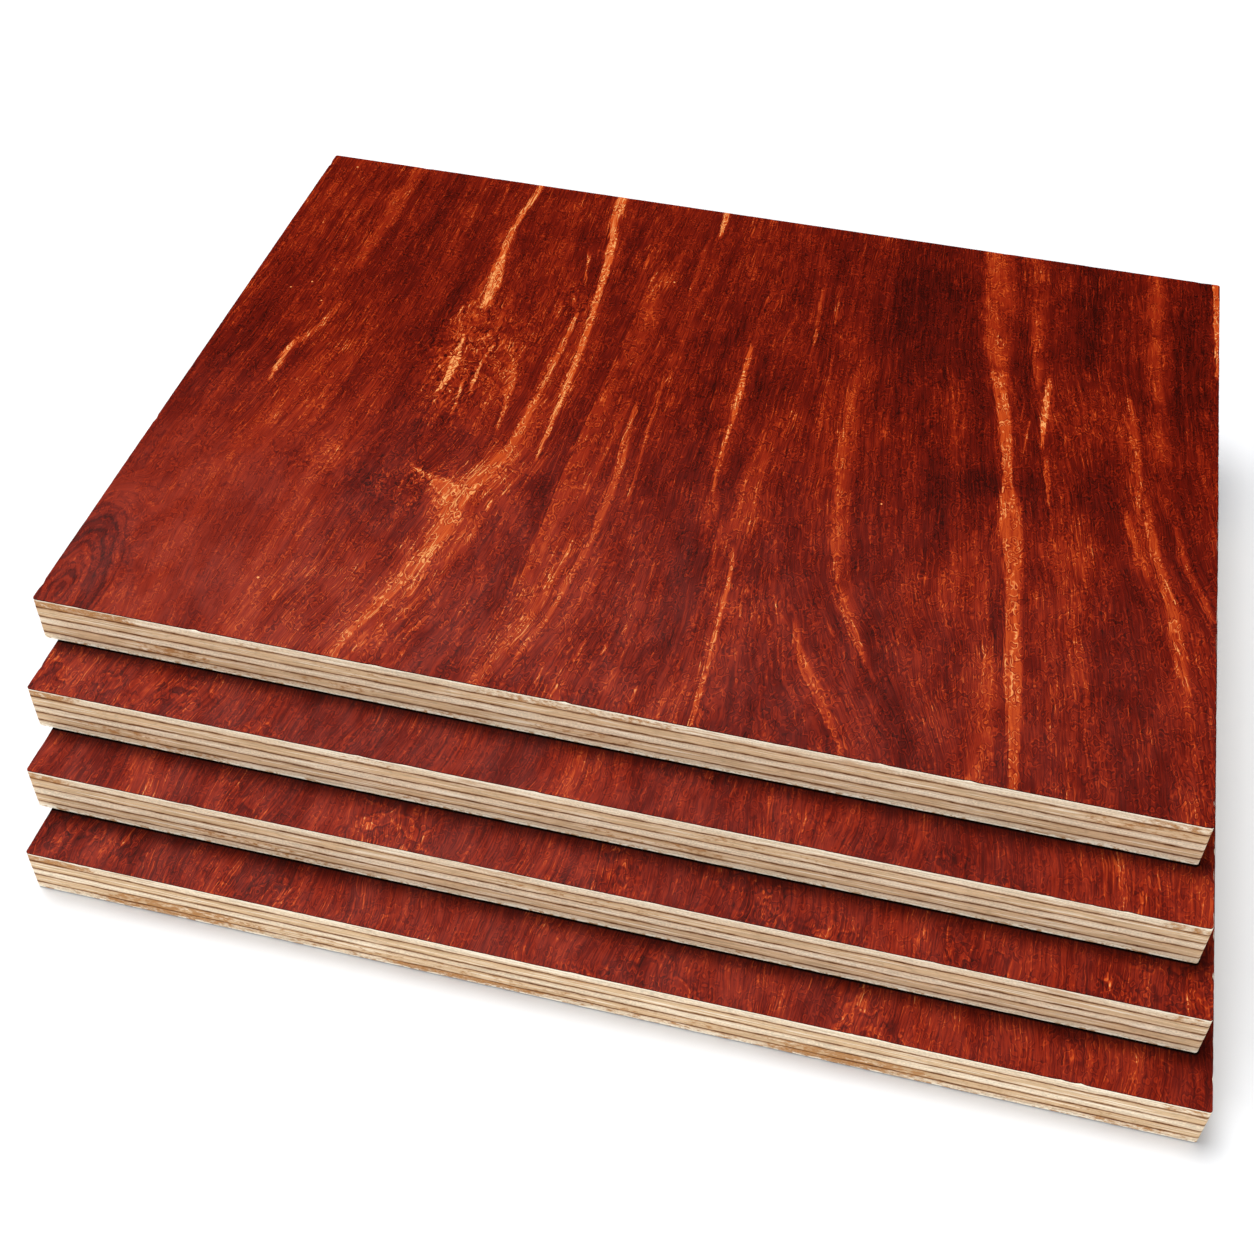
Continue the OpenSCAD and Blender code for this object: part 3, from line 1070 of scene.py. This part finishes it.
class PLYWOOD_OT_stage(bpy.types.Operator):
    """Lay the floor, hang the lights and set up the camera"""

    bl_idname = "plywood.stage"
    bl_label = "Studio"
    bl_options = {"REGISTER", "UNDO"}

    def execute(self, context):
        settings = context.scene.plywood_stage
        scene = context.scene
        self.lay_floor(scene, settings)
        self.light_room(scene, settings)
        self.hang_light(scene, "key_light", (-0.36, 0.22, 1), 34, settings.key_strength)
        self.hang_light(scene, "fill_light", (-0.1, -1, 0.36), 60, settings.fill_strength)
        self.set_camera(scene, settings)
        scene.view_settings.view_transform = "Standard"
        return {"FINISHED"}

    def lay_floor(self, scene, settings):
        bm = bmesh.new()
        bmesh.ops.create_grid(bm, x_segments=1, y_segments=1, size=6.0)
        mesh = bpy.data.meshes.new("studio_floor")
        bm.to_mesh(mesh)
        bm.free()
        kit = Nodes(bpy.data.materials.new("studio_floor"))
        mesh.materials.append(kit.surface(settings.floor, 0.9, 0.1))
        floor = bpy.data.objects.new("studio_floor", mesh)
        scene.collection.objects.link(floor)

    def light_room(self, scene, settings):
        """A pale room whose far wall is dark, with a soft panel above it to the left."""
        kit = Nodes(bpy.data.worlds.new("studio_room"))
        across, back, up = kit.split(kit.own_place("Generated"))
        far_wall = kit.ramp(back, -0.1, 0.45)
        below_ceiling = kit.fall(up, 0.88, 0.97)
        dark = kit.times(far_wall, below_ceiling)
        sky = settings.sky_strength
        room = kit.ramp(dark, 0.0, 1.0, sky, sky * 0.02, smooth=False)
        panel = kit.times(kit.ramp(up, 0.58, 0.74), kit.fall(across, -0.08, 0.24))
        panel = kit.times(kit.times(panel, far_wall), kit.ramp(across, -0.80, -0.55))
        panel = kit.times(panel, below_ceiling)
        level = kit.gain(panel, settings.glow, room)
        # The camera itself sees a plain pale backdrop beyond the floor
        seen = kit.node("ShaderNodeLightPath").outputs["Is Camera Ray"]
        level = kit.gain(seen, kit.minus(1.0, level), level)
        pairs = (("Strength", level), ("Color", (0.975, 0.985, 1)))
        background = kit.node("ShaderNodeBackground", pairs)
        kit.node("ShaderNodeOutputWorld", (("Surface", background.outputs[0]),))
        scene.world = kit.owner

    def hang_light(self, scene, name, way, spread, strength):
        """A sun whose disc is spread over some degrees."""
        light = bpy.data.lights.new(name, "SUN")
        light.energy = strength
        light.angle = math.radians(spread)
        lamp = bpy.data.objects.new(name, light)
        lamp.location = Vector(way) * 2
        lamp.rotation_euler = Vector(way).to_track_quat("Z", "Y").to_euler()
        lamp.visible_glossy = False
        scene.collection.objects.link(lamp)

    def set_camera(self, scene, settings):
        data = bpy.data.cameras.new("studio_camera")
        data.lens = settings.lens
        data.sensor_width = 36
        data.clip_start = 0.01
        camera = bpy.data.objects.new("studio_camera", data)
        camera.location = settings.camera_place
        camera.rotation_euler = settings.camera_turn
        scene.collection.objects.link(camera)
        scene.camera = camera


class PLYWOOD_PT_sidebar(bpy.types.Panel):
    """The stack's settings, with a button for each step"""

    bl_idname = "PLYWOOD_PT_sidebar"
    bl_label = "Coated Plywood Stack"
    bl_space_type = "VIEW_3D"
    bl_region_type = "UI"
    bl_category = "Plywood"

    def draw(self, context):
        for step, holder in zip(STEPS, SETTINGS):
            settings = getattr(context.scene, holder)
            box = self.layout.box()
            for name in settings.bl_rna.properties.keys():
                if name not in {"rna_type", "name"}:
                    box.prop(settings, name)
            box.operator(step.bl_idname)


SETTINGS = {
    "plywood_film": FilmSettings,
    "plywood_veneer": VeneerSettings,
    "plywood_stage": StageSettings,
}
STEPS = (PLYWOOD_OT_films, PLYWOOD_OT_veneers, PLYWOOD_OT_stage)
CLASSES = (*SETTINGS.values(), *STEPS, PLYWOOD_PT_sidebar)


def register():
    for made in CLASSES:
        bpy.utils.register_class(made)
    for name, settings in SETTINGS.items():
        setattr(bpy.types.Scene, name, bpy.props.PointerProperty(type=settings))


def unregister():
    for name in SETTINGS:
        delattr(bpy.types.Scene, name)
    for made in reversed(CLASSES):
        bpy.utils.unregister_class(made)


def main():
    register()
    bpy.ops.plywood.films()
    bpy.ops.plywood.veneers()
    bpy.ops.plywood.stage()


if __name__ == "__main__":
    main()
